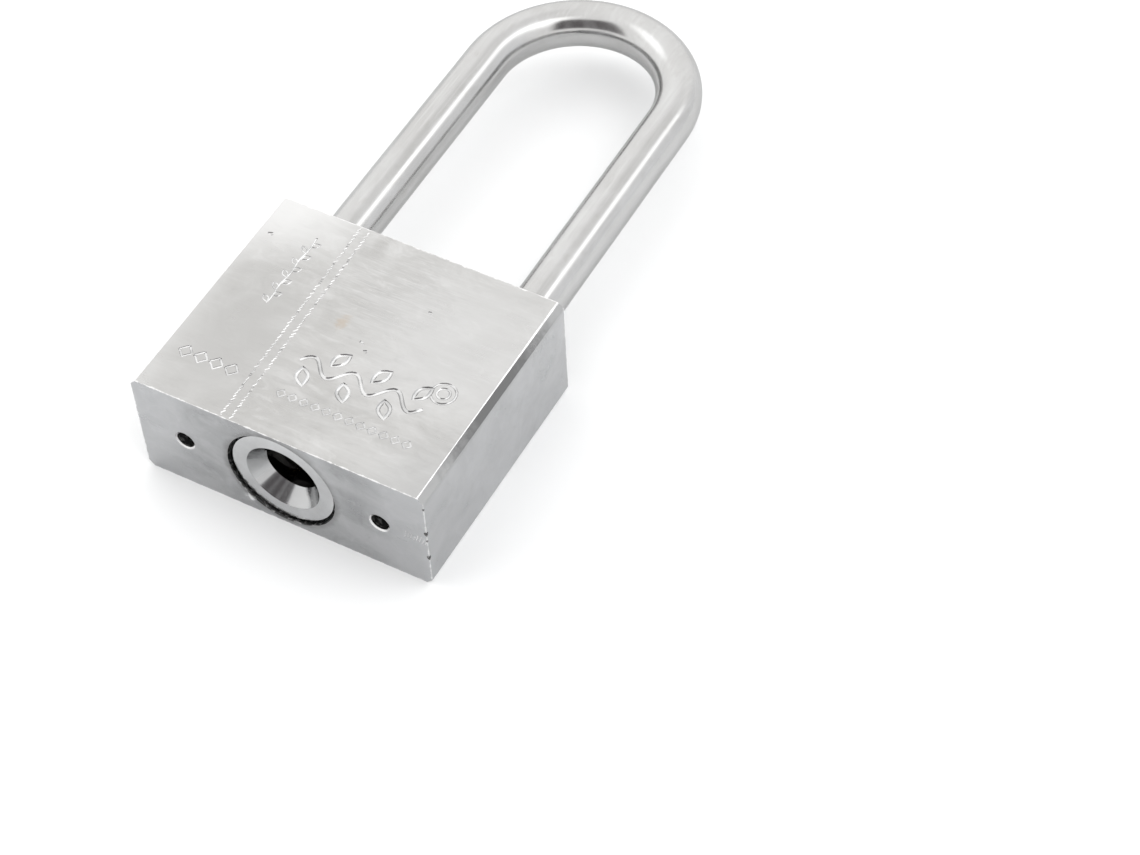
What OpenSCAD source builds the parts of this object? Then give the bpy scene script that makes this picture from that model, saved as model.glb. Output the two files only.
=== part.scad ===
// Rectangular padlock with a ball-locked shackle and a wafer cylinder behind a free-turning guard.
// The lock lies on its back: +X runs across its width, +Y towards the shackle, +Z up out of its front.
// The origin is the centre of the back face. Stations along the lock count from the key end.

/* [Body] */
// Width across the body
body_w = 40; // [39.6:0.2:44]
// Length from the key end to the shackle end
body_len = 33.2; // [33.2:0.2:36]
// Thickness from back to front
body_t = 16; // [16:0.1:18]
// Chamfer on the four long edges
edge_chamfer = 0.8; // [0.3:0.1:1.2]

/* [Shackle] */
// Diameter of the shackle rod
rod_d = 6.2; // [6:0.1:6.3]
// Distance between the two legs' centres
leg_spacing = 27; // [26.8:0.1:27.4]
// Straight length of each leg outside the body
leg_out = 39.4; // [15:0.2:80]
// How far the shackle rises when the lock opens
lift = 12; // [11.6:0.1:12]
// Radial play of the legs in the body
leg_play = 0.15; // [0.1:0.01:0.2]

/* [Key end] */
// Radius of the counterbore that the guard turns in
counterbore_r = 7.4; // [7.3:0.05:7.4]
// Radius of the guard
guard_r = 6.95; // [6.8:0.05:6.95]
// How far the guard's face lies below the key end
guard_recess = 0.45; // [0.2:0.05:0.6]
// Radius of the cone's rim
cone_r = 5; // [4.6:0.1:5.4]
// Radius of the key mouth
mouth_r = 3.6; // [3.4:0.1:3.8]
// Diameter of the two drain holes
drain_d = 2.4; // [2:0.1:2.6]

/* [Lock works] */
// Radius of the bore that holds the cylinder and the cam
main_bore_r = 6.65; // [6.65:0.01:6.7]
// Radius of the plug
plug_r = 4.95; // [4.9:0.01:4.95]
// Distance between wafers
wafer_pitch = 2.4; // [2.2:0.1:2.4]
// Thickness of a wafer
wafer_thick = 1; // [0.8:0.1:1.1]
// How far a released wafer rises into the sleeve
wafer_travel = 0.6; // [0.3:0.05:0.6]
// Radius of a locking ball
ball_r = 2.5; // [2.4:0.05:2.5]
// How far each ball reaches into its shackle leg
ball_engage = 1.2; // [1:0.05:1.3]
// How far each ball draws back as the plug turns to open
ball_stroke = 4.2; // [4:0.05:4.2]

/* [Hidden] */

$fn = 96;
cut = 1;                 // how far a cutter runs past the surface that it opens
gap = 0.1;               // clearance between moving pieces
turn = 90;               // degrees from locked to open

axis_z = body_t / 2;
y_key = -body_len / 2;
leg_x = leg_spacing / 2;
rod_r = rod_d / 2;
leg_bore_r = rod_r + leg_play;

// Guard, counted from the key end
cone_end = 2.6;
guard_back = 3.8;
hub_end = guard_back + 0.85;
hub_r = 5.6;
snap_y = 2.2;
snap_wire_r = 0.4;
snap_r = 7.15;
shoulder = guard_back + 0.15;

// Cylinder
sleeve_start = 4.1;
sleeve_end = 22;
sleeve_r = main_bore_r - 0.03;
head_start = 4.8;
head_end = 5.8;
plug_end = 23.3;
clip_y = 22.15;
clip_thick = 0.6;
broach_r = 5.7;
stop_lug_r = 6.15;
stop_lug_half = 12;      // half the stop lug's angle
stop_angle = 45;         // where the lug stands when the lock is shut
keyway_w = 2.3;
keyway_h = 6.8;
wafer_w = 4.4;
wafer_first = 7.8;
spring_x = 3.15;
spring_pocket_r = 0.62;
tab_z = 0.8;
tab_h = 0.9;
tab_x = 3.9;
pocket_floor = -2.4;

// Cam and balls
cam_start = 25.2;
cam_end = cam_start + 2 * ball_r;
bore_end = cam_end + 0.2;
ball_y = (cam_start + cam_end) / 2;
ball_x = leg_x - rod_r + ball_engage - ball_r;
ball_path_r = ball_r + gap;
cam_r = ball_x - ball_path_r;
tang_w = 6.4;
tang_t = 2;
tang_end = 27.4;

// Heel leg, on the left, and toe leg, on the right
heel_end = 3.6;
heel_bore_end = 3.2;
neck_r = 2.2;
neck_start = 5.3;
heel_pin_r = 0.9;
heel_pin_y = neck_start + lift + heel_pin_r + gap;
heel_pin_z = axis_z - neck_r - heel_pin_r - 0.05;
neck_end = heel_pin_y + heel_pin_r + 0.2;
spring_hole_r = 1.45;
spring_top = 16.2;
toe_end = body_len - lift + 1;
toe_bore_end = toe_end - 0.4;
tip_chamfer = 0.6;
drain_step = 1.6;        // depth at which a drain hole narrows
drain_inner_r = 0.75;

steel = "Silver";
bright = "Gainsboro";
brass = "DarkKhaki";

// A cylinder along the lock, between two stations counted from the key end
module bar(r, from, to, x = 0, z = axis_z, r_to = undef) {
    translate([x, y_key + from, z])
        rotate([-90, 0, 0])
            cylinder(h = to - from, r1 = r, r2 = is_undef(r_to) ? r : r_to);
}

// A profile drawn in the plane across the lock, thickened between two stations
module slab(from, to) {
    translate([0, y_key + from, axis_z])
        rotate([-90, 0, 0])
            linear_extrude(height = to - from)
                children();
}

// A box between two stations, centred on the lock's axis across its width
module block(w, from, to, z0, z1, x = 0) {
    translate([x - w / 2, y_key + from, axis_z + z0])
        cube([w, to - from, z1 - z0]);
}

// A round wire coil standing along +Z
module coil(mean_r, wire_r, height, turns, sides = 6, steps = 12) {
    rings = turns * steps;
    rise = height - 2 * wire_r;
    points = [
        for (k = [0:rings], s = [0:sides - 1])
            let (along = 360 * k / steps, around = 360 * s / sides)
            let (reach = mean_r + wire_r * cos(around))
            let (up = wire_r + rise * k / rings + wire_r * sin(around))
            [reach * cos(along), reach * sin(along), up]
    ];
    walls = [
        for (k = [0:rings - 1], s = [0:sides - 1])
            let (a = k * sides + s, b = k * sides + (s + 1) % sides)
            each [[a, b, b + sides], [a, b + sides, a + sides]]
    ];
    start = [for (s = [sides - 1:-1:0]) s];
    end = [for (s = [0:sides - 1]) rings * sides + s];
    polyhedron(points = points, faces = concat([start], walls, [end]), convexity = 10);
}

// The body's outline across the lock, a rectangle with chamfered corners
module body_outline() {
    w = body_w / 2;
    t = body_t / 2;
    c = edge_chamfer;
    polygon([
        [w - c, -t], [w, c - t], [w, t - c], [w - c, t],
        [c - w, t], [-w, t - c], [-w, c - t], [c - w, -t]
    ]);
}

module drain_hole(x, to) {
    bar(drain_d / 2, -cut, drain_step, x = x);
    bar(drain_inner_r, drain_step - gap, to + cut, x = x);
}

module body_block() {
    color(steel)
        difference() {
            slab(0, body_len) body_outline();
            bar(counterbore_r, -cut, shoulder);
            bar(main_bore_r, shoulder - cut, bore_end);
            bar(snap_r + snap_wire_r + 0.05, snap_y - snap_wire_r - 0.05, snap_y + snap_wire_r + 0.05);
            bar(leg_bore_r, heel_bore_end, body_len + cut, x = -leg_x);
            bar(leg_bore_r, toe_bore_end, body_len + cut, x = leg_x);
            drain_hole(-leg_x, heel_bore_end);
            drain_hole(leg_x, toe_bore_end);
            translate([-body_w / 2 - cut, y_key + ball_y, axis_z])
                rotate([0, 90, 0])
                    cylinder(h = body_w / 2 + cut + leg_x, r = ball_r + 0.05);
            heel_pin_shape(cut);
            cylinder_pin_shape(cut);
        }
}

module ball_channel_plug() {
    color(steel)
        translate([-body_w / 2, y_key + ball_y, axis_z])
            rotate([0, 90, 0])
                cylinder(h = body_w / 2 - leg_x - leg_bore_r - 0.05, r = ball_r + 0.04);
}

module heel_pin_shape(past = 0) {
    translate([-body_w / 2 - past, y_key + heel_pin_y, heel_pin_z])
        rotate([0, 90, 0])
            cylinder(h = body_w / 2 + past - leg_x + leg_bore_r / 2 + 1, r = heel_pin_r);
}

module heel_pin() {
    color(steel) heel_pin_shape();
}

// A short pin from the back face into the sleeve's wall
module cylinder_pin_shape(past = 0) {
    translate([0, y_key + (sleeve_start + sleeve_end) / 2, -past])
        cylinder(h = axis_z - broach_r - 0.15 + past, r = 0.8);
}

module cylinder_pin() {
    color(steel) cylinder_pin_shape();
}

// The path that a ball's centre takes past a rising leg, and the notch that clears it
module ball_notch() {
    slope = ball_stroke / lift;
    size = sqrt(1 + slope * slope);
    reach = [ball_path_r / size, -ball_path_r * slope / size];
    run = (reach[0] - rod_r + ball_r - ball_engage + 1) / slope + 2;
    translate([ball_x, y_key + ball_y, axis_z - rod_r - cut])
        linear_extrude(height = rod_d + 2 * cut) {
            circle(r = ball_path_r);
            polygon([
                [0, 0], reach,
                [reach[0] - slope * run, reach[1] - run],
                [-slope * run, -run]
            ]);
        }
}

module shackle() {
    color(bright)
        difference() {
            union() {
                translate([0, y_key + body_len + leg_out, axis_z])
                    rotate_extrude(angle = 180)
                        translate([leg_x, 0])
                            circle(r = rod_r);
                bar(rod_r, neck_end, body_len + leg_out, x = -leg_x);
                bar(neck_r, heel_end, neck_end + 0.01, x = -leg_x);
                bar(rod_r, heel_end, neck_start, x = -leg_x);
                bar(rod_r, toe_end + tip_chamfer, body_len + leg_out, x = leg_x);
                bar(rod_r - tip_chamfer, toe_end, toe_end + tip_chamfer, x = leg_x, r_to = rod_r);
            }
            bar(spring_hole_r, heel_end - cut, spring_top, x = -leg_x);
            ball_notch();
            mirror([1, 0, 0]) ball_notch();
        }
}

module shackle_spring() {
    color(bright)
        translate([-leg_x, y_key + heel_bore_end, axis_z])
            rotate([-90, 0, 0])
                coil(mean_r = 1.07, wire_r = 0.22, height = spring_top - heel_bore_end, turns = 12);
}

module ball(side) {
    color(bright)
        translate([side * ball_x, y_key + ball_y, axis_z])
            sphere(r = ball_r);
}

module guard_disc() {
    color(steel)
        difference() {
            union() {
                bar(guard_r, guard_recess, guard_back);
                bar(hub_r, guard_back - gap, hub_end);
            }
            bar(mouth_r, guard_recess, hub_end + cut);
            bar(cone_r, guard_recess, cone_end, r_to = mouth_r);
            bar(cone_r, guard_recess - cut, guard_recess + 0.001);
            difference() {
                bar(guard_r + cut, snap_y - snap_wire_r - gap, snap_y + snap_wire_r + gap);
                bar(snap_r - snap_wire_r - gap, 0, guard_back);
            }
        }
}

module guard_snap_ring() {
    color(bright)
        translate([0, y_key + snap_y, axis_z])
            rotate([-90, 20, 0])
                rotate_extrude(angle = 325)
                    translate([snap_r, 0])
                        circle(r = snap_wire_r, $fn = 24);
}

// The part of a ring that lies between two angles
module sector(inner, outer, first, last) {
    steps = 12;
    polygon([
        for (k = [0:steps]) let (a = first + (last - first) * k / steps) outer * [cos(a), sin(a)],
        for (k = [steps:-1:0]) let (a = first + (last - first) * k / steps) inner * [cos(a), sin(a)]
    ]);
}

// Four wide grooves inside the sleeve, which released wafers rise into
module broaches() {
    intersection() {
        bar(broach_r, head_end + 0.6, sleeve_end - 0.6);
        union()
            for (across = [0, 90])
                translate([0, 0, axis_z])
                    rotate([0, across, 0])
                        translate([-wafer_w / 2 - 0.15, y_key, -broach_r])
                            cube([wafer_w + 0.3, sleeve_end, 2 * broach_r]);
    }
}

module cylinder_sleeve() {
    lug_slot = stop_lug_half + 1;
    color(brass)
        difference() {
            bar(sleeve_r, sleeve_start, sleeve_end);
            bar(hub_r + 0.05, sleeve_start - cut, head_end + 0.05);
            bar(plug_r + 0.05, head_end, sleeve_end + cut);
            broaches();
            slab(head_start - gap, head_end + gap)
                sector(
                    hub_r - gap, stop_lug_r + 0.05,
                    stop_angle - lug_slot, stop_angle + turn + lug_slot
                );
            cylinder_pin_shape();
        }
}

function wafer_y(i) = wafer_first + (i - 1) * wafer_pitch;

// How far the key window of wafer i sits above or below the middle
function wafer_cut(i) = 0.45 * sin(140 * i);

module wafer_slot(i) {
    from = wafer_y(i) - wafer_thick / 2 - 0.05;
    to = wafer_y(i) + wafer_thick / 2 + 0.05;
    block(wafer_w + gap, from, to, -plug_r - cut, plug_r + cut);
    tab_top = tab_z + tab_h + wafer_travel + gap;
    block(tab_x + gap, from, to, tab_z - 0.6, tab_top, x = (tab_x + gap) / 2);
    translate([spring_x, y_key + wafer_y(i), axis_z + pocket_floor])
        cylinder(h = tab_z - pocket_floor, r = spring_pocket_r, $fn = 32);
}

module plug() {
    color(brass)
        difference() {
            union() {
                bar(plug_r, head_start, plug_end);
                bar(hub_r, head_start, head_end);
                block(tang_w, plug_end - gap, tang_end, -tang_t / 2, tang_t / 2);
                slab(head_start, head_end)
                    sector(plug_r, stop_lug_r, stop_angle - stop_lug_half, stop_angle + stop_lug_half);
            }
            block(keyway_w, head_start - cut, sleeve_end, -keyway_h / 2, keyway_h / 2);
            difference() {
                bar(plug_r + cut, clip_y, clip_y + clip_thick + 0.05);
                bar(plug_r - 0.75, clip_y - cut, clip_y + cut);
            }
            for (i = [1:6])
                wafer_slot(i);
        }
}

// An open ring, snapped into the plug's groove behind the sleeve
module plug_clip() {
    color(bright)
        difference() {
            bar(plug_r + 0.9, clip_y + 0.02, clip_y + clip_thick);
            bar(plug_r - 0.7, clip_y - cut, clip_y + cut);
            block(5, clip_y - cut, clip_y + cut, 0, plug_r + cut);
        }
}

module wafer(i) {
    half = wafer_thick / 2;
    color(brass)
        difference() {
            intersection() {
                union() {
                    block(wafer_w, wafer_y(i) - half, wafer_y(i) + half, -plug_r, plug_r);
                    block(
                        tab_x - 1, wafer_y(i) - half, wafer_y(i) + half,
                        tab_z, tab_z + tab_h, x = (tab_x + 1) / 2
                    );
                }
                bar(plug_r - 0.07, wafer_y(i) - half - cut, wafer_y(i) + half + cut);
            }
            block(keyway_w + 0.1, wafer_y(i) - cut, wafer_y(i) + cut, wafer_cut(i) - 3.1, wafer_cut(i) + 3.1);
        }
}

module wafer_springs() {
    color(bright)
        for (i = [1:6])
            translate([spring_x, y_key + wafer_y(i), axis_z + pocket_floor])
                coil(mean_r = 0.42, wire_r = 0.12, height = tab_z - pocket_floor, turns = 4);
}

module cam_washer() {
    color(steel)
        difference() {
            bar(main_bore_r - 0.08, plug_end + 0.2, cam_start - 0.2);
            bar(tang_w / 2 + 0.3, plug_end - cut, cam_start);
        }
}

// The inner edge of the room that a ball needs, at f degrees of plug turn
function ball_edge(f) =
    let (rho = ball_x - ball_stroke * f / turn)
    let (inward = -ball_stroke / (turn * PI / 180))
    let (along = [inward * cos(f) - rho * sin(f), inward * sin(f) + rho * cos(f)])
    rho * [cos(f), sin(f)] + ball_path_r * [-along[1], along[0]] / norm(along);

// The room that one ball sweeps past the turning cam
module ball_room() {
    steps = 15;
    last = ball_x - ball_stroke;
    edge = [for (k = [0:steps]) ball_edge(turn * k / steps)];
    lean = atan2(edge[steps][1] - last, edge[steps][0]);
    far = [
        for (k = [1:steps])
            let (a = lean + (-180 - lean) * k / steps)
            [0, last] + ball_path_r * [cos(a), sin(a)]
    ];
    mirror([0, 1])
        polygon(concat(edge, far, [[-ball_path_r, ball_x], [ball_x, ball_x], [ball_x, edge[0][1]]]));
}

module locking_cam() {
    color(steel)
        difference() {
            slab(cam_start, cam_end)
                difference() {
                    circle(r = cam_r);
                    for (half = [0, 180])
                        rotate(half) ball_room();
                }
            block(tang_w + gap, cam_start - cut, tang_end + gap, -tang_t / 2 - 0.05, tang_t / 2 + 0.05);
        }
}

body_block();
ball_channel_plug();
heel_pin();
cylinder_pin();
shackle();
shackle_spring();
ball(-1);  // ball_left
ball(1);  // ball_right
guard_disc();
guard_snap_ring();
cylinder_sleeve();
plug();
plug_clip();
cam_washer();
locking_cam();
wafer_springs();
wafer(1);  // wafer_1
wafer(2);  // wafer_2
wafer(3);  // wafer_3
wafer(4);  // wafer_4
wafer(5);  // wafer_5
wafer(6);  // wafer_6
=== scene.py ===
"""Looks of the padlock: a satin nickel body with engraved ornament, a polished shackle and a turned guard."""

import math
import random
import bmesh
import bpy
from mathutils import Matrix, Quaternion, Vector


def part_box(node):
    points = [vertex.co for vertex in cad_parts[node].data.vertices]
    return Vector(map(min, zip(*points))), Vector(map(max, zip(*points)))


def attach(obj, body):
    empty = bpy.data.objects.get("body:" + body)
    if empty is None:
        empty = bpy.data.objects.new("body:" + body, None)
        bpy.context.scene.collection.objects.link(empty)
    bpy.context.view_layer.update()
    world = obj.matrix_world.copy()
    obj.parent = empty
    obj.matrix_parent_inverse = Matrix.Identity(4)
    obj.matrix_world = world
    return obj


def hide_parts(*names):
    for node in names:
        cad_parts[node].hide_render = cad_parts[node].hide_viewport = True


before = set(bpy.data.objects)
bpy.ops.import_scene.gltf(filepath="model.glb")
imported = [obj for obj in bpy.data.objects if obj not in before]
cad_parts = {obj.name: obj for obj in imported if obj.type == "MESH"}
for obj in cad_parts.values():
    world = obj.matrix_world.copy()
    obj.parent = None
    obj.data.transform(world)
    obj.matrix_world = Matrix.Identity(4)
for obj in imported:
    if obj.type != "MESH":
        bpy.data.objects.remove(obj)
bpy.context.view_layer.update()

MM = 0.001
body_low, body_high = (Vector(p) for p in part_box("body_block"))
shackle_high = Vector(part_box("shackle")[1])
guard_high = Vector(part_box("guard_disc")[1])

# Millimetres, like every length below that isn't multiplied by MM
FACE_Z = body_high.z / MM
KEY_Y = body_low.y / MM
TOP_Y = body_high.y / MM
HALF_W = body_high.x / MM
AXIS_Z = (body_low.z + body_high.z) / 2 / MM
GUARD_R = guard_high.x / MM
CHAMFER = 0.8
ROD_R = 3.1
LEG_X = shackle_high.x / MM - ROD_R
DRAIN_R = 1.2
DRAIN_STEP = 1.6
CONE_R = 5.0

# Material slots of the body, whose own metal is slot 0, and of the cutter that engraves it
# Slot 1 paints the shade inside the holes, slot 2 paints the shade and glints in their mouths
HOLE_SHADE, MOUTH_SHADE = 1, 2
CUT, DIRTY, STAMPED = 0, 1, 2


# ---------------------------------------------------------------- node helpers

class Nodes:
    """Builds a node tree: each call adds a node and gives back its output socket."""

    def __init__(self, tree):
        self.tree = tree

    def add(self, kind, inputs=None, **settings):
        node = self.tree.nodes.new(kind)
        for key, value in settings.items():
            setattr(node, key, value)
        for key, value in (inputs or {}).items():
            self.feed(node.inputs[key], value)
        return node

    def feed(self, socket, value):
        if isinstance(value, bpy.types.NodeSocket):
            self.tree.links.new(value, socket)
        else:
            socket.default_value = value

    def span(self, value, from_low, from_high, to_low=0.0, to_high=1.0, soft=False):
        inputs = {0: value, 1: from_low, 2: from_high, 3: to_low, 4: to_high}
        kind = "SMOOTHSTEP" if soft else "LINEAR"
        return self.add("ShaderNodeMapRange", inputs, interpolation_type=kind).outputs[0]

    def math(self, operation, first, second=0.0):
        return self.add("ShaderNodeMath", {0: first, 1: second}, operation=operation).outputs[0]

    def off(self, value, middle):
        """How far a value is from a middle one, either way."""
        return self.math("ABSOLUTE", self.math("SUBTRACT", value, middle))

    def mix(self, amount, first, second):
        node = self.add("ShaderNodeMix", data_type="RGBA")
        self.feed(node.inputs["Factor"], amount)
        self.feed(node.inputs["A"], (*first, 1) if isinstance(first, tuple) else first)
        self.feed(node.inputs["B"], (*second, 1) if isinstance(second, tuple) else second)
        return node.outputs["Result"]

    def towards(self, vector, direction):
        """Cosine between a unit vector socket and a fixed direction."""
        fixed = Vector(direction).normalized()
        node = self.add("ShaderNodeVectorMath", {0: vector, 1: tuple(fixed)}, operation="DOT_PRODUCT")
        return node.outputs["Value"]


class Look(Nodes):
    """A metal material being built."""

    def __init__(self, name, colour, roughness, metallic=1.0, edge=None):
        self.material = bpy.data.materials.new(name)
        self.material.use_nodes = True
        super().__init__(self.material.node_tree)
        self.shader = self.tree.nodes["Principled BSDF"]
        self.shader.inputs["Metallic"].default_value = metallic
        self.shader.inputs["Base Color"].default_value = (*colour, 1)
        self.shader.inputs["Roughness"].default_value = roughness
        if edge is not None:
            self.shader.inputs["Specular Tint"].default_value = (edge, edge, edge, 1)
        self.place = self.add("ShaderNodeTexCoord").outputs["Object"]

    def stretched(self, scale, turn=(0, 0, 0)):
        """Object coordinates in units of 1 / scale metres along each axis."""
        inputs = {"Vector": self.place, "Scale": scale, "Rotation": turn}
        return self.add("ShaderNodeMapping", inputs).outputs[0]

    def noise(self, vector, scale=1.0, detail=3.0, roughness=0.5, distortion=0.0):
        inputs = {"Vector": vector, "Scale": scale, "Detail": detail, "Roughness": roughness}
        inputs["Distortion"] = distortion
        return self.add("ShaderNodeTexNoise", inputs).outputs["Fac"]

    def axes_mm(self):
        """The three object coordinates in millimetres."""
        inputs = {0: self.place, 1: (1 / MM,) * 3}
        scaled = self.add("ShaderNodeVectorMath", inputs, operation="MULTIPLY").outputs[0]
        return self.add("ShaderNodeSeparateXYZ", {0: scaled}).outputs[:3]

    def facing(self, direction):
        """Cosine between the surface's own normal and a fixed direction of the object."""
        return self.towards(self.add("ShaderNodeTexCoord").outputs["Normal"], direction)

    def distance(self, point_mm, stretch=(1, 1, 1)):
        """Millimetres from a point of the object, with each axis stretched."""
        scale = tuple(s / MM for s in stretch)
        shift = tuple(-p * s for p, s in zip(point_mm, stretch))
        inputs = {"Vector": self.place, "Scale": scale, "Location": shift}
        shifted = self.add("ShaderNodeMapping", inputs).outputs[0]
        return self.add("ShaderNodeVectorMath", {0: shifted}, operation="LENGTH").outputs["Value"]

    def patch(self, tone, colour, near_far, amount, reach, wander):
        """Mixes in a colour where reach plus wander is below the first limit, fading out to the second."""
        inside = self.span(self.math("ADD", reach, wander), *near_far, amount, 0.0, soft=True)
        return self.mix(inside, tone, colour)

    def bump(self, height, depth_mm, below=None):
        inputs = {"Height": height, "Strength": 1.0, "Distance": depth_mm * MM}
        if below is not None:
            inputs["Normal"] = below
        return self.add("ShaderNodeBump", inputs).outputs[0]

    def finish(self, colour=None, roughness=None, normal=None):
        for key, value in (("Base Color", colour), ("Roughness", roughness), ("Normal", normal)):
            if value is not None:
                self.feed(self.shader.inputs[key], value)
        return self.material


# ------------------------------------------------------------------- materials

def grey(value, warmth=0.0):
    return (value * (1 + 0.5 * warmth), value, value * (1 - warmth))


def brushed_face(look, place, clouds, wisps, streaks, bands):
    """The tone of the front and back: cloudy, with scratches that are thickest near the front's middle."""
    x, y, _ = place
    tone = look.mix(look.span(clouds, 0.3, 0.72, soft=True), grey(0.39, 0.02), grey(0.50, 0.01))
    tone = look.mix(look.span(wisps, 0.5, 0.75, 0, 0.6, soft=True), tone, grey(0.56, 0.004))
    tone = look.mix(look.span(wisps, 0.28, 0.45, 0.45, 0, soft=True), tone, grey(0.36, 0.01))
    tone = look.mix(look.span(bands, 0.5, 0.78, 0, 0.35), tone, grey(0.54))
    scuffed = look.distance((2, 9, FACE_Z), (0.7, 1, 1))
    scuffed = look.math("ADD", scuffed, look.span(wisps, 0.2, 0.8, -3.0, 3.0))
    scuffed = look.span(scuffed, 2.0, 9.0, 0.38, 0.07, soft=True)
    tone = look.mix(look.math("MULTIPLY", look.span(streaks, 0.5, 0.7), scuffed), tone, grey(0.3))
    combed = look.noise(look.stretched((420, 5200, 5200), (0, 0, -0.05)), 1, 3, 0.6)
    tone = look.mix(look.math("MULTIPLY", look.span(combed, 0.52, 0.7), scuffed), tone, grey(0.6))

    # The left margin and upper left corner are paler, the lower left and lower right are darker
    wander = look.span(clouds, 0.2, 0.8, -1.6, 1.6)
    margin = look.math("ADD", x, look.math("MULTIPLY", y, 0.08))
    tone = look.patch(tone, grey(0.6), (-20.6, -17.0), 0.5, margin, wander)
    tone = look.patch(tone, grey(0.68), (3.0, 15.0), 0.75, look.distance((-19, 18, FACE_Z)), wander)
    dim = look.distance((-13, -6, FACE_Z), (1, 0.6, 1))
    tone = look.patch(tone, grey(0.39, 0.015), (2.0, 11.0), 0.8, dim, wander)
    fair = look.distance((15, 6, FACE_Z), (0.8, 1, 1))
    tone = look.patch(tone, grey(0.54), (4.0, 16.0), 0.55, fair, wander)
    return look.patch(tone, grey(0.38), (3.0, 13.0), 0.6, look.distance((21, -17, FACE_Z)), wander)


def plain_sides(look, place, clouds, wisps):
    """The tone of the ends, the long sides and the chamfers: plain, blotchy and greyer than the faces, with
    painted shade and painted reflections.
    """
    x, y, z = place
    blotch = look.noise(look.stretched((420, 420, 420)), 1, 5, 0.65, 0.6)
    # The ends' darker tone is partly painted reflection, standing in for the darker floor they reflect
    end = look.mix(look.span(clouds, 0.3, 0.7, soft=True), grey(0.315, -0.02), grey(0.43, -0.015))
    end = look.mix(look.span(blotch, 0.5, 0.72, 0, 0.55), end, grey(0.49, -0.02))
    end = look.mix(look.span(blotch, 0.3, 0.42, 0.5, 0.0), end, grey(0.27, -0.01))
    outer = look.span(look.math("ABSOLUTE", x), 10.0, 17.0, 0.0, 0.5, soft=True)
    end = look.mix(outer, end, grey(0.5, -0.02))

    # A darker ring on the key end round the guard
    dark_ring_round_guard = look.distance((0, KEY_Y, AXIS_Z), (1, 0, 1))
    dark_ring_round_guard = look.math("ADD", dark_ring_round_guard, look.span(wisps, 0.2, 0.8, -0.5, 0.5))
    dark_ring_round_guard = look.span(dark_ring_round_guard, 7.3, 8.3, 0.75, 0.0, soft=True)
    at_key = look.span(look.facing((0, -1, 0)), 0.5, 0.9)
    end = look.mix(look.math("MULTIPLY", at_key, dark_ring_round_guard), end, grey(0.2))

    side = look.mix(look.span(clouds, 0.3, 0.7, soft=True), grey(0.42, -0.02), grey(0.51, -0.015))
    side = look.mix(look.span(blotch, 0.5, 0.72, 0, 0.4), side, grey(0.56, -0.02))
    side = look.mix(look.span(blotch, 0.3, 0.42, 0.35, 0.0), side, grey(0.4, -0.01))
    side = look.mix(look.span(y, -15.0, -2.0, 0.3, 0.15, soft=True), side, grey(0.32, -0.02))
    on_side = look.span(look.math("ABSOLUTE", look.facing((1, 0, 0))), 0.3, 0.8)
    tone = look.mix(on_side, end, side)

    # Painted shade: a darker band along the side, just below the front
    below = look.math("ADD", z, look.span(wisps, 0.2, 0.8, -0.35, 0.35))
    below = look.span(below, FACE_Z - 1.7, FACE_Z - 0.6, 0.0, 0.75, soft=True)
    tone = look.mix(look.math("MULTIPLY", on_side, below), tone, grey(0.36))

    # The chamfers carry painted reflections: one pair is painted dark along its middle, the other pair is
    # painted pale
    chamfer_dark_reflection = look.span(look.math("ABSOLUTE", look.facing((1, 0, 1))), 0.93, 0.98)
    from_middle = look.math("ADD", look.off(y, 1.0), look.span(blotch, 0.3, 0.7, -2.5, 2.5))
    from_middle = look.span(from_middle, 4.0, 15.0, soft=True)
    tone = look.mix(chamfer_dark_reflection, tone, look.mix(from_middle, grey(0.17), grey(0.4)))
    chamfer_pale_reflection = look.span(look.math("ABSOLUTE", look.facing((-1, 0, 1))), 0.93, 0.98)
    return look.mix(chamfer_pale_reflection, tone, look.mix(clouds, grey(0.7), grey(0.86)))


def edge_distance(look, place):
    """Millimetres to the nearest edge: the middle one of the three distances to the sides."""
    x, y, z = place
    near_x = look.math("SUBTRACT", HALF_W, look.math("ABSOLUTE", x))
    near_y = look.math("SUBTRACT", TOP_Y, look.math("ABSOLUTE", y))
    near_z = look.math("MINIMUM", z, look.math("SUBTRACT", FACE_Z, z))
    least, most = look.math("MINIMUM", near_x, near_y), look.math("MAXIMUM", near_x, near_y)
    return look.math("MAXIMUM", least, look.math("MINIMUM", most, near_z))


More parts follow.
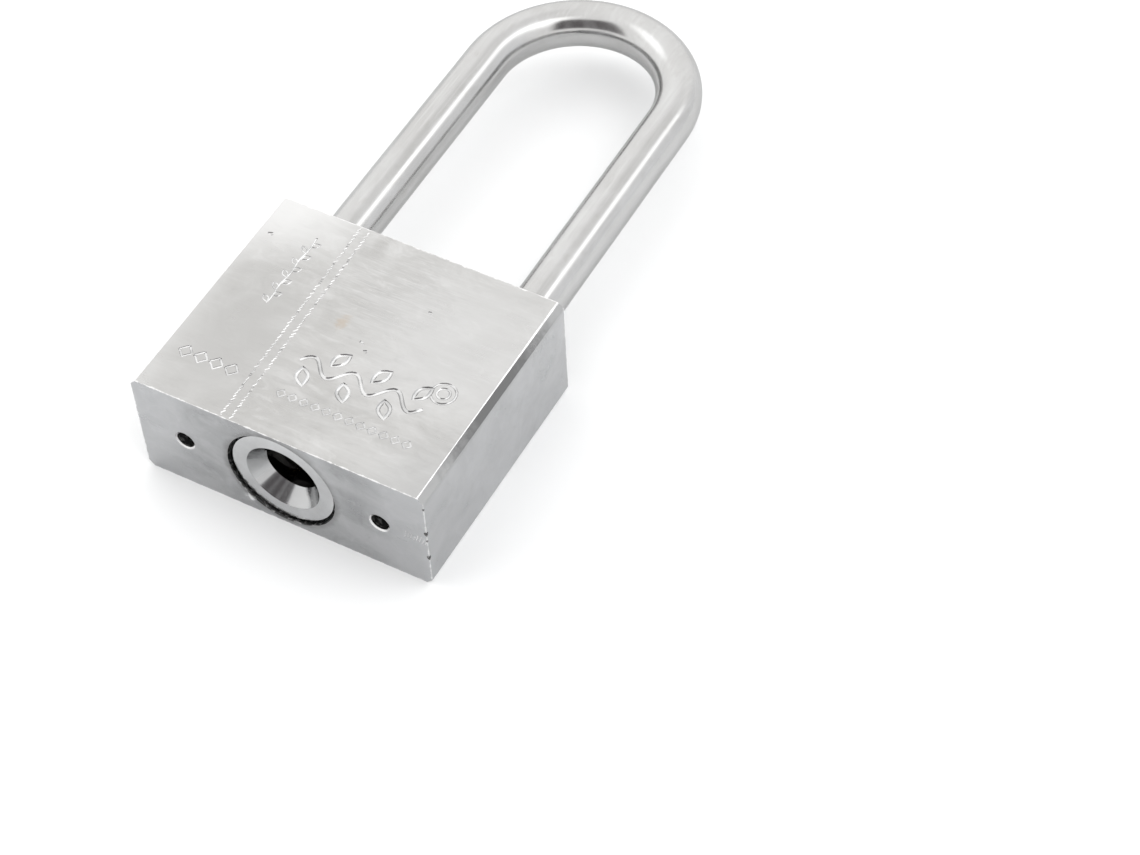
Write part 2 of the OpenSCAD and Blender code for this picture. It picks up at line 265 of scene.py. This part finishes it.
def satin_nickel():
    """The body: brushed across its width, cloudy, rubbed pale at the edges, greyer on the ends and sides,
    with painted reflections, painted shade and a painted glint in its colour.
    """
    look = Look("satin_nickel", grey(0.52), 0.3)
    place = look.axes_mm()
    streaks = look.noise(look.stretched((260, 7000, 7000)), 1, 4, 0.6)
    bands = look.noise(look.stretched((70, 1300, 1300)), 1, 3, 0.55)
    clouds = look.noise(look.stretched((95, 150, 150)), 1, 5, 0.62, 0.8)
    wisps = look.noise(look.stretched((230, 480, 480), (0, 0, 0.08)), 1, 5, 0.65, 1.0)
    grain = look.noise(look.stretched((3500, 3500, 3500)), 1, 2, 0.5)
    chips = look.noise(look.stretched((900, 900, 900)), 1, 4, 0.7)

    face = brushed_face(look, place, clouds, wisps, streaks, bands)
    front = look.span(look.facing((0, 0, 1)), 0.75, 0.9)
    back = look.span(look.facing((0, 0, -1)), 0.75, 0.9)
    tone = look.mix(look.math("MAXIMUM", front, back), plain_sides(look, place, clouds, wisps), face)
    ragged = look.math("ADD", edge_distance(look, place), look.span(chips, 0.3, 0.7, -0.12, 0.16))
    tone = look.mix(look.span(ragged, 0.03, 0.15, 0.8, 0.0), tone, grey(0.78))

    # A painted glint on a rubbed nick below the guard, and a brown speck on the front
    nick_glint = look.distance((-4.9, KEY_Y, 2.1), (0.6, 1, 0.6))
    nick_glint = look.math("ADD", nick_glint, look.span(chips, 0.3, 0.7, -0.4, 0.4))
    beyond = look.span(look.math("ADD", place[0], place[2]), -3.0, -2.0, 0.0, 0.9)
    tone = look.mix(look.span(look.math("MAXIMUM", nick_glint, beyond), 0.1, 0.5, 0.85, 0.0), tone, grey(0.9))
    speck = look.distance((-2.0, 2.2, FACE_Z), (1, 0.8, 1))
    blurred = look.span(wisps, 0.3, 0.7, -0.7, 0.7)
    tone = look.patch(tone, (0.42, 0.33, 0.24), (0.1, 1.0), 0.4, speck, blurred)

    rough = look.span(look.math("ADD", clouds, look.math("MULTIPLY", streaks, 0.6)), 0.5, 1.1, 0.24, 0.4)
    normal = look.bump(streaks, 0.005)
    normal = look.bump(bands, 0.007, normal)
    normal = look.bump(clouds, 0.03, normal)
    normal = look.bump(grain, 0.002, normal)
    return look.finish(tone, rough, normal)


def bright_groove():
    """Fresh cuts and pressed strokes, which are shinier than the face."""
    look = Look("bright_groove", grey(0.62), 0.2)
    grain = look.noise(look.stretched((2500, 2500, 2500)), 1, 2)
    patches = look.noise(look.stretched((420, 420, 420)), 1, 3, 0.6)
    tone = look.mix(look.span(patches, 0.35, 0.6, soft=True), grey(0.46), grey(0.64))
    return look.finish(tone, look.span(grain, 0.3, 0.7, 0.14, 0.28), look.bump(grain, 0.004))


def faded_stamp():
    """Shallow stamped marks, worn in some places and dirty in others."""
    look = Look("faded_stamp", grey(0.46), 0.3)
    patches = look.noise(look.stretched((600, 600, 600)), 1, 3, 0.6)
    tone = look.mix(look.span(patches, 0.38, 0.62, soft=True), grey(0.44), grey(0.57))
    return look.finish(tone, normal=look.bump(patches, 0.01))


def grimy_pit():
    """Dirt caught in the small dents."""
    look = Look("grimy_pit", grey(0.16), 0.4)
    mottle = look.noise(look.stretched((4000, 4000, 4000)), 1, 2)
    tone = look.mix(look.span(mottle, 0.35, 0.65), grey(0.09), grey(0.26))
    return look.finish(tone, normal=look.bump(mottle, 0.01))


def shaded_mouth_glints():
    """The mouths of the drain holes and the rim round the guard: painted shade, with bright spots as painted
    glints.
    """
    look = Look("shaded_mouth_glints", grey(0.2), 0.35)
    spots = look.noise(look.stretched((1400, 2400, 1400)), 1, 3)
    tone = look.mix(look.span(spots, 0.5, 0.62), grey(0.13), grey(0.6))
    return look.finish(tone, normal=look.bump(spots, 0.02))


def painted_shade_bore():
    """The insides of the holes, painted near black as painted shade."""
    look = Look("painted_shade_bore", grey(0.06, 0.05), 0.5, metallic=0.6, edge=0.3)
    mottle = look.noise(look.stretched((900, 900, 900)), 1, 3)
    tone = look.mix(look.span(mottle, 0.35, 0.7), grey(0.03, 0.05), grey(0.12, 0.03))
    return look.finish(tone, look.span(mottle, 0.35, 0.7, 0.35, 0.6), look.bump(mottle, 0.01))


def chrome_rod():
    """The shackle: polished plate with faint drawing lines along the rod, a little haze and a few stains."""
    look = Look("chrome_rod", grey(0.5), 0.15, edge=0.72)
    lines = look.noise(look.stretched((2600, 110, 2600)), 1, 3, 0.5)
    haze = look.noise(look.stretched((150, 90, 150)), 1, 5, 0.65, 0.5)
    blots = look.noise(look.stretched((420, 300, 420)), 1, 4, 0.6)
    tone = look.mix(look.span(haze, 0.35, 0.72), grey(0.45, 0.01), grey(0.52, 0.0))
    tone = look.mix(look.span(blots, 0.6, 0.78, 0, 0.4), tone, grey(0.38, 0.05))
    tone = look.mix(look.span(lines, 0.5, 0.75, 0, 0.3), tone, grey(0.57))
    rough = look.span(haze, 0.35, 0.75, 0.16, 0.29)
    return look.finish(tone, rough, look.bump(lines, 0.003))


def turned_steel(name, colour, roughness):
    """Steel turned in a lathe: fine rings round the lock's axis, with painted shade darkening the cone."""
    look = Look(name, colour, roughness)
    inputs = {"Vector": look.place, "Location": (0, 0, -AXIS_Z * MM)}
    shift = look.add("ShaderNodeMapping", inputs).outputs[0]
    flat = look.add("ShaderNodeVectorMath", {0: shift, 1: (1, 0, 1)}, operation="MULTIPLY").outputs[0]
    radius = look.add("ShaderNodeVectorMath", {0: flat}, operation="LENGTH").outputs["Value"]
    inputs = {"W": look.math("MULTIPLY", radius, 5200), "Detail": 3.0}
    rings = look.add("ShaderNodeTexNoise", inputs, noise_dimensions="1D").outputs["Fac"]
    clouds = look.noise(look.stretched((240, 240, 240)), 1, 4, 0.6)
    shade = tuple(0.8 * c for c in colour)
    tone = look.mix(look.span(clouds, 0.35, 0.7), shade, colour)
    # Painted shade: the cone's colour is darkened
    cone_shade = look.span(radius, CONE_R * MM, (CONE_R + 0.1) * MM, 0.6, 0.0)
    tone = look.mix(cone_shade, tone, tuple(0.5 * c for c in colour))
    rough = look.span(clouds, 0.35, 0.7, roughness * 0.8, roughness * 1.25)
    return look.finish(tone, rough, look.bump(rings, 0.003))


def plain_metal(name, colour, roughness, scale=900):
    """A machined inner part: mottled colour and a little grain."""
    look = Look(name, colour, roughness)
    mottle = look.noise(look.stretched((scale, scale, scale)), 1, 4, 0.6)
    shade = tuple(0.75 * c for c in colour)
    tone = look.mix(look.span(mottle, 0.3, 0.7), shade, colour)
    rough = look.span(mottle, 0.3, 0.7, roughness * 0.75, roughness * 1.3)
    return look.finish(tone, rough, look.bump(mottle, 0.004))


def give(node, material):
    """Puts one material in every slot of a CAD node."""
    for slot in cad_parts[node].material_slots:
        slot.material = material


# ------------------------------------------------------------- engraved strokes

STROKE_SIDES = 12


def arc(centre, radius, first, last, steps=12):
    """Points on a circle between two angles in degrees."""
    turns = [math.radians(first + (last - first) * k / steps) for k in range(steps + 1)]
    return [(centre[0] + radius * math.cos(a), centre[1] + radius * math.sin(a)) for a in turns]


def ring(centre, radius, steps=20):
    """Points all round a circle."""
    return arc(centre, radius, 0, 360 - 360 / steps, steps - 1)


def leaf(root, length, angle, bulge=0.28, steps=6):
    """A closed leaf outline from its root, pointing at an angle in degrees."""
    along = Vector((math.cos(math.radians(angle)), math.sin(math.radians(angle))))
    across = Vector((-along.y, along.x))
    shape = [(k / steps, bulge * math.sin(math.pi * k / steps)) for k in range(steps + 1)]
    shape += [(k / steps, -bulge * math.sin(math.pi * k / steps)) for k in range(steps - 1, 0, -1)]
    return [tuple(Vector(root) + length * (u * along + v * across)) for u, v in shape]


def on_front(across, along, height):
    return Vector((across, along, FACE_Z + height))


def on_key_end(across, up, height):
    return Vector((across, KEY_Y - height, up))


def add_stroke(mesh, path, width, depth, closed=False, surface=on_front, slot=CUT):
    """Adds a round-bottomed cutter along a path on one flat side of the body, in millimetres."""
    first = len(mesh.faces)
    radius = (width * width / 4 + depth * depth) / (2 * depth)
    scale = radius / math.cos(math.pi / STROKE_SIDES)
    points = [Vector(point) for point in path]
    count = len(points)
    rings = []
    for k, point in enumerate(points):
        back = points[k - 1] if closed or k else point
        ahead = points[(k + 1) % count] if closed or k + 1 < count else point
        along = (ahead - back).normalized()
        side = Vector((-along.y, along.x))
        loop = []
        for s in range(STROKE_SIDES):
            turn = 2 * math.pi * (s + 0.5) / STROKE_SIDES
            flat = point + scale * math.cos(turn) * side
            loop.append(mesh.verts.new(surface(flat.x, flat.y, radius - depth + scale * math.sin(turn))))
        rings.append(loop)
    pairs = zip(rings, rings[1:] + rings[:1]) if closed else zip(rings, rings[1:])
    for low, high in pairs:
        for s in range(STROKE_SIDES):
            t = (s + 1) % STROKE_SIDES
            mesh.faces.new((low[s], low[t], high[t], high[s]))
    if not closed:
        mesh.faces.new(rings[0][::-1])
        mesh.faces.new(rings[-1])
    mesh.faces.ensure_lookup_table()
    for face in mesh.faces[first:]:
        face.material_index = slot


def add_dent(mesh, centre, size):
    """Adds a small ball that presses a dirty pit."""
    spin = Matrix.Rotation(centre[0] + centre[1], 4, "Z") @ Matrix.Diagonal((*size, 1))
    place = Matrix.Translation(centre) @ spin
    added = bmesh.ops.create_icosphere(mesh, subdivisions=2, radius=1, matrix=place)["verts"]
    for face in {face for vert in added for face in vert.link_faces}:
        face.material_index = DIRTY


def worn_edge(mesh):
    """The rubbed flat where the front meets the chamfer of the long right-hand edge."""
    start, slope = HALF_W - CHAMFER - 0.06, math.tan(math.radians(29))
    rows = []
    for y, shift in ((KEY_Y - 0.5, 0.0), (-6.0, 0.03), (5.0, 0.0), (TOP_Y + 0.5, -0.04)):
        above = (start + shift - 1, FACE_Z + slope)
        below = (start + shift + 2, FACE_Z - 2 * slope)
        section = [above, below, (HALF_W + 2, FACE_Z + 1)]
        rows.append([mesh.verts.new((x, y, z)) for x, z in section])
    for low, high in zip(rows, rows[1:]):
        for s in range(3):
            t = (s + 1) % 3
            mesh.faces.new((low[s], low[t], high[t], high[s]))
    mesh.faces.new(rows[0][::-1])
    mesh.faces.new(rows[-1])


def new_object(name, mesh, smooth=True):
    bmesh.ops.recalc_face_normals(mesh, faces=mesh.faces)
    data = bpy.data.meshes.new(name)
    mesh.to_mesh(data)
    mesh.free()
    for polygon in data.polygons:
        polygon.use_smooth = smooth
    piece = bpy.data.objects.new(name, data)
    bpy.context.scene.collection.objects.link(piece)
    return piece


def dashed_lines(mesh):
    """Two rope-like rows of short leaning ticks from the key end to the shackle end."""
    chance = random.Random(4)
    for offset in (0, 1.3):
        y = KEY_Y + 0.25
        while y < TOP_Y - 0.8:
            x = -7.35 + offset - 0.8 * (y - KEY_Y) / (TOP_Y - KEY_Y) + 0.08 * (chance.random() - 0.5)
            length = 0.25 + 0.35 * chance.random()
            lean = 0.06 + 0.14 * chance.random()
            depth = 0.02 + 0.035 * chance.random()
            tick = [(x - lean, y), (x + lean, y + length)]
            if chance.random() < 0.35:
                tick = [(x - 0.14, y + 0.1), (x + 0.14, y + 0.14)]
                length = 0.22
            add_stroke(mesh, tick, 0.19, depth)
            y += length + 0.04 + 0.1 * chance.random()


def add_countersink(mesh, x, z):
    """Breaks the rim of a drain hole on the key end."""
    place = Matrix.Translation((x, KEY_Y, z)) @ Matrix.Rotation(math.radians(90), 4, "X")
    inner, outer = DRAIN_R - 0.15, DRAIN_R + 0.6
    bmesh.ops.create_cone(
        mesh, cap_ends=True, segments=32, radius1=inner, radius2=outer, depth=0.5, matrix=place
    )


def knocks(mesh):
    """Small dents on the front and along the lower right corner, and a patch of fine scratches."""
    dents = ((1.5, 0.6, 0.25, -0.05), (2.6, -0.4, 0.2, 0.1), (-17.7, 10.7, 0.3, 0.12), (6.4, 8.3, 0.2, 0.05))
    for x, y, half, lean in dents:
        add_stroke(mesh, [(x - half, y - lean), (x + half, y + lean)], 0.3, 0.11)
        add_stroke(mesh, [(x + half, y - 0.3), (x + half + 0.2, y - 0.15)], 0.18, 0.05)
    for z, size in ((14.3, 0.2), (9.7, 0.4), (8.4, 0.2), (5.2, 0.38), (0.1, 0.3)):
        add_dent(mesh, (HALF_W, KEY_Y, z), (size, size, size))
    for k in range(8):
        foot = (16.9 + 0.38 * k, 7.4 + 0.1 * (k % 3))
        tip = (foot[0] + 0.2 + 0.04 * k, foot[1] + 1.3 - 0.12 * (k % 4))
        add_stroke(mesh, [foot, tip], 0.1, 0.016, surface=on_key_end)


def vine(mesh, left, right, middle, rise, units, width, depth):
    """A waving stem with a leaf in each bend."""
    pitch = (right - left) / units
    steps = units * 8
    stem = [
        (left + (right - left) * k / steps, middle + rise * 0.45 * math.sin(math.pi * k / 8))
        for k in range(steps + 1)
    ]
    add_stroke(mesh, stem, width, depth)
    for k in range(units):
        up = 1 if k % 2 == 0 else -1
        root = (left + (k + 0.35) * pitch, middle - up * rise * 0.35)
        add_stroke(mesh, leaf(root, rise * 1.1, up * -62, 0.26), width, depth, closed=True)


def lozenge(mesh, centre, half, width, depth, slot=CUT):
    """Four strokes that make a diamond."""
    x, y = centre
    corners = [(x - half, y), (x, y - half), (x + half, y), (x, y + half)]
    for a, b in zip(corners, corners[1:] + corners[:1]):
        add_stroke(mesh, [a, b], width, depth, slot=slot)


def ornament():
    """All the engraved strokes, knocks and rubbed flats as one cutter."""
    mesh = bmesh.new()
    dashed_lines(mesh)
    vine(mesh, -3.6, 13.2, -5.0, 2.5, 6, 0.54, 0.18)
    for radius in (1.55, 0.8):
        add_stroke(mesh, ring((14.2, -1.9), radius), 0.36, 0.12, closed=True)
    for k in range(12):
        lozenge(mesh, (-2.8 + 1.55 * k, -10.4), 0.58, 0.26, 0.06, slot=STAMPED)
    for k in range(4):
        lozenge(mesh, (-16.4 + 2.15 * k, -10.0), 0.9, 0.32, 0.1)
    add_stroke(mesh, [(-12.0 + 0.12 * math.sin(1.3 * k), 0.8 + 0.9 * k) for k in range(14)], 0.24, 0.07)
    for k in range(10):
        outline = leaf((-12.0, 1.0 + 1.1 * k), 1.25, 90 + (-1) ** k * 50, 0.26)
        add_stroke(mesh, outline, 0.22, 0.07, closed=True)
    for x in (-LEG_X, LEG_X):
        add_countersink(mesh, x, AXIS_Z)
    knocks(mesh)
    worn_edge(mesh)
    return new_object("ornament_cutter", mesh)


def part_materials(data):
    """Makes the edges sharp wherever two materials meet."""
    mesh = bmesh.new()
    mesh.from_mesh(data)
    for edge in mesh.edges:
        if len({face.material_index for face in edge.link_faces}) > 1:
            edge.smooth = False
    mesh.to_mesh(data)
    mesh.free()


def material_slot(polygon):
    """The slot of a face of the cut body: painted shade inside the holes, painted shade with painted glints
    in their mouths, else its own.
    """
    x, y, z = polygon.center / MM
    across, up = HALF_W - abs(x), min(z, FACE_Z - z)
    if min(across, up, TOP_Y - abs(y)) < 0.25 or across + up < CHAMFER + 0.35:
        return polygon.material_index
    in_drain = math.hypot(abs(x) - LEG_X, z - AXIS_Z) < DRAIN_R + 0.2
    in_mouth = math.hypot(x, z - AXIS_Z) > GUARD_R
    # Mouth faces get the painted shade with painted glints, deeper faces the plain painted shade
    return MOUTH_SHADE if y < KEY_Y + DRAIN_STEP + 0.1 and (in_drain or in_mouth) else HOLE_SHADE


def is_flat_side(polygon):
    """True for the large flat faces and chamfers, which must not borrow a bend from the small edge faces."""
    x, y, z = (abs(v) for v in polygon.normal)
    return max(x, y, z) > 0.9995 or (abs(x - z) < 0.001 and y < 0.001)


def body_shell():
    """The body with rounded edges and engraved ornament, made from the CAD solid."""
    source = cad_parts["body_block"]
    mesh = bmesh.new()
    mesh.from_mesh(source.data)
    bmesh.ops.scale(mesh, vec=(1 / MM,) * 3, verts=mesh.verts)
    bmesh.ops.remove_doubles(mesh, verts=mesh.verts, dist=0.002)
    bmesh.ops.dissolve_limit(mesh, angle_limit=math.radians(0.5), verts=mesh.verts, edges=mesh.edges)
    shell = new_object("body_shell", mesh)
    for material in (satin_nickel(), painted_shade_bore(), shaded_mouth_glints()):
        shell.data.materials.append(material)
    cutter = ornament()
    for material in (bright_groove(), grimy_pit(), faded_stamp()):
        cutter.data.materials.append(material)
    edges = shell.modifiers.new("edges", "BEVEL")
    edges.width = 0.07
    edges.segments = 2
    edges.limit_method = "ANGLE"
    edges.angle_limit = math.radians(30)
    engrave = shell.modifiers.new("engrave", "BOOLEAN")
    engrave.operation = "DIFFERENCE"
    engrave.solver = "EXACT"
    engrave.use_self = True
    engrave.object = cutter
    engrave.material_mode = "TRANSFER"
    bpy.context.view_layer.update()
    done = shell.evaluated_get(bpy.context.evaluated_depsgraph_get())
    data = bpy.data.meshes.new_from_object(done)
    shell.modifiers.clear()
    shell.data = data
    data.transform(Matrix.Scale(MM, 4))
    bpy.data.objects.remove(cutter)
    if "custom_normal" in data.attributes:
        data.attributes.remove(data.attributes["custom_normal"])
    data.set_sharp_from_angle(angle=math.radians(32))
    for polygon in data.polygons:
        polygon.material_index = material_slot(polygon)
    part_materials(data)
    for polygon in data.polygons:
        in_hole = polygon.material_index in (HOLE_SHADE, MOUTH_SHADE)
        polygon.use_smooth = in_hole or not is_flat_side(polygon)
    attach(shell, "case")
    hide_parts("body_block")
    return shell


def dress_frame():
    """Gives every CAD node that stays its material."""
    steel = plain_metal("ground_steel", (0.5, 0.51, 0.52), 0.3)
    spring = plain_metal("spring_wire", (0.36, 0.37, 0.39), 0.28, 2000)
    # The cylinder and plug are painted near black: painted shade deep in the keyhole
    cylinder_shade = plain_metal("painted_shade_cylinder", (0.05, 0.047, 0.042), 0.45)
    leaf_brass = plain_metal("stamped_brass", (0.66, 0.52, 0.27), 0.34, 1500)
    polished = plain_metal("polished_ball", (0.6, 0.6, 0.61), 0.08, 600)
    give("shackle", chrome_rod())
    give("guard_disc", turned_steel("turned_guard", (0.58, 0.585, 0.59), 0.12))
    give("ball_channel_plug", steel)
    for node in ("heel_pin", "cylinder_pin", "cam_washer", "locking_cam"):
        give(node, steel)
    for node in ("shackle_spring", "wafer_springs", "plug_clip", "guard_snap_ring"):
        give(node, spring)
    for node in ("ball_left", "ball_right"):
        give(node, polished)
    # Painted shade: the near-black cylinder colour
    for node in ("cylinder_sleeve", "plug"):
        give(node, cylinder_shade)
    for k in range(1, 7):
        give(f"wafer_{k}", leaf_brass)


# ------------------------------------------------------------------ the studio

def camera():
    """Looks down at the lock from its lower right."""
    data = bpy.data.cameras.new("camera")
    data.lens = 87.2
    data.sensor_width = 36
    data.clip_start = 0.01
    eye = Vector((132.9, -171.0, 262.0)) * MM
    aim = Vector((23.0, 11.5, 0.0)) * MM
    view = bpy.data.objects.new("camera", data)
    view.location = eye
    view.rotation_mode = "QUATERNION"
    roll = Quaternion((0, 0, 1), math.radians(-3.2))
    view.rotation_quaternion = (aim - eye).to_track_quat("-Z", "Y") @ roll
    bpy.context.scene.collection.objects.link(view)
    bpy.context.scene.camera = view


def floor():
    mesh = bmesh.new()
    bmesh.ops.create_circle(mesh, cap_ends=True, radius=1.5, segments=96)
    ground = new_object("floor", mesh, smooth=False)
    look = Look("pale_floor", (0.94, 0.947, 0.952), 0.9, metallic=0.0)
    ground.data.materials.append(look.finish())


def studio():
    """A white tent: brightest to the left, with a strip light, a round panel and a dark opening in front."""
    world = bpy.data.worlds.new("studio")
    bpy.context.scene.world = world
    world.use_nodes = True
    sky = Nodes(world.node_tree)
    direction = sky.add("ShaderNodeTexCoord").outputs["Generated"]
    x, y, z = sky.add("ShaderNodeSeparateXYZ", {0: direction}).outputs[:3]

    left = sky.span(sky.towards(direction, (-0.85, 0.3, 0.3)), 0.0, 0.9)
    shade = sky.mix(left, grey(1.2, 0.008), grey(1.36, 0.008))
    above = sky.span(sky.towards(direction, (0.15, 0.5, 0.85)), 0.9, 0.99, 0.0, 1.0, soft=True)
    shade = sky.mix(above, shade, grey(1.08, 0.008))
    right = sky.span(sky.towards(direction, (0.85, 0.5, 0.0)), 0.6, 0.95, soft=True)
    shade = sky.mix(right, shade, grey(1.05, -0.01))

    # The dark opening, with the folds of the cloth in it
    round_about = sky.math("ARCTAN2", x, sky.math("MULTIPLY", y, -1.0))
    wide = sky.span(sky.off(round_about, 0.18), 0.72, 0.86, 1.0, 0.0, soft=True)
    tall = sky.span(sky.off(z, 0.58), 0.25, 0.31, 1.0, 0.0, soft=True)
    inputs = {"W": round_about, "Scale": 7.0, "Detail": 2.0}
    folds = sky.add("ShaderNodeTexNoise", inputs, noise_dimensions="1D").outputs["Fac"]
    cloth = sky.span(folds, 0.45, 0.65, soft=True)
    cloth = sky.mix(cloth, (0.16, 0.15, 0.153), (0.4, 0.39, 0.395))
    shade = sky.mix(sky.math("MULTIPLY", wide, tall), shade, cloth)

    # The strip light, which draws the bright line along the shackle's legs, and the panel beside it
    off_strip = sky.off(sky.towards(direction, (0.874, -0.137, -0.468)), 0.03)
    off_strip = sky.math("MULTIPLY", off_strip, sky.span(y, -0.25, 0.4, 0.38, 1.0))
    strip = sky.span(off_strip, 0.06, 0.17, 1.0, 0.0, soft=True)
    ends = sky.math("MULTIPLY", sky.span(y, -0.4, -0.2), sky.span(y, 0.56, 0.76, 1.0, 0.0, soft=True))
    strip = sky.math("MULTIPLY", sky.math("MULTIPLY", strip, ends), sky.span(z, 0.2, 0.4))
    shade = sky.mix(strip, shade, grey(2.4))
    panel = sky.span(sky.towards(direction, (-0.68, 0.02, 0.73)), 0.95, 0.985, soft=True)
    shade = sky.mix(panel, shade, grey(2.0))
    background = world.node_tree.nodes["Background"]
    sky.feed(background.inputs[0], shade)
    background.inputs[1].default_value = 1.12
    bpy.context.scene.view_settings.view_transform = "Standard"


camera()
floor()
studio()
body_shell()
dress_frame()
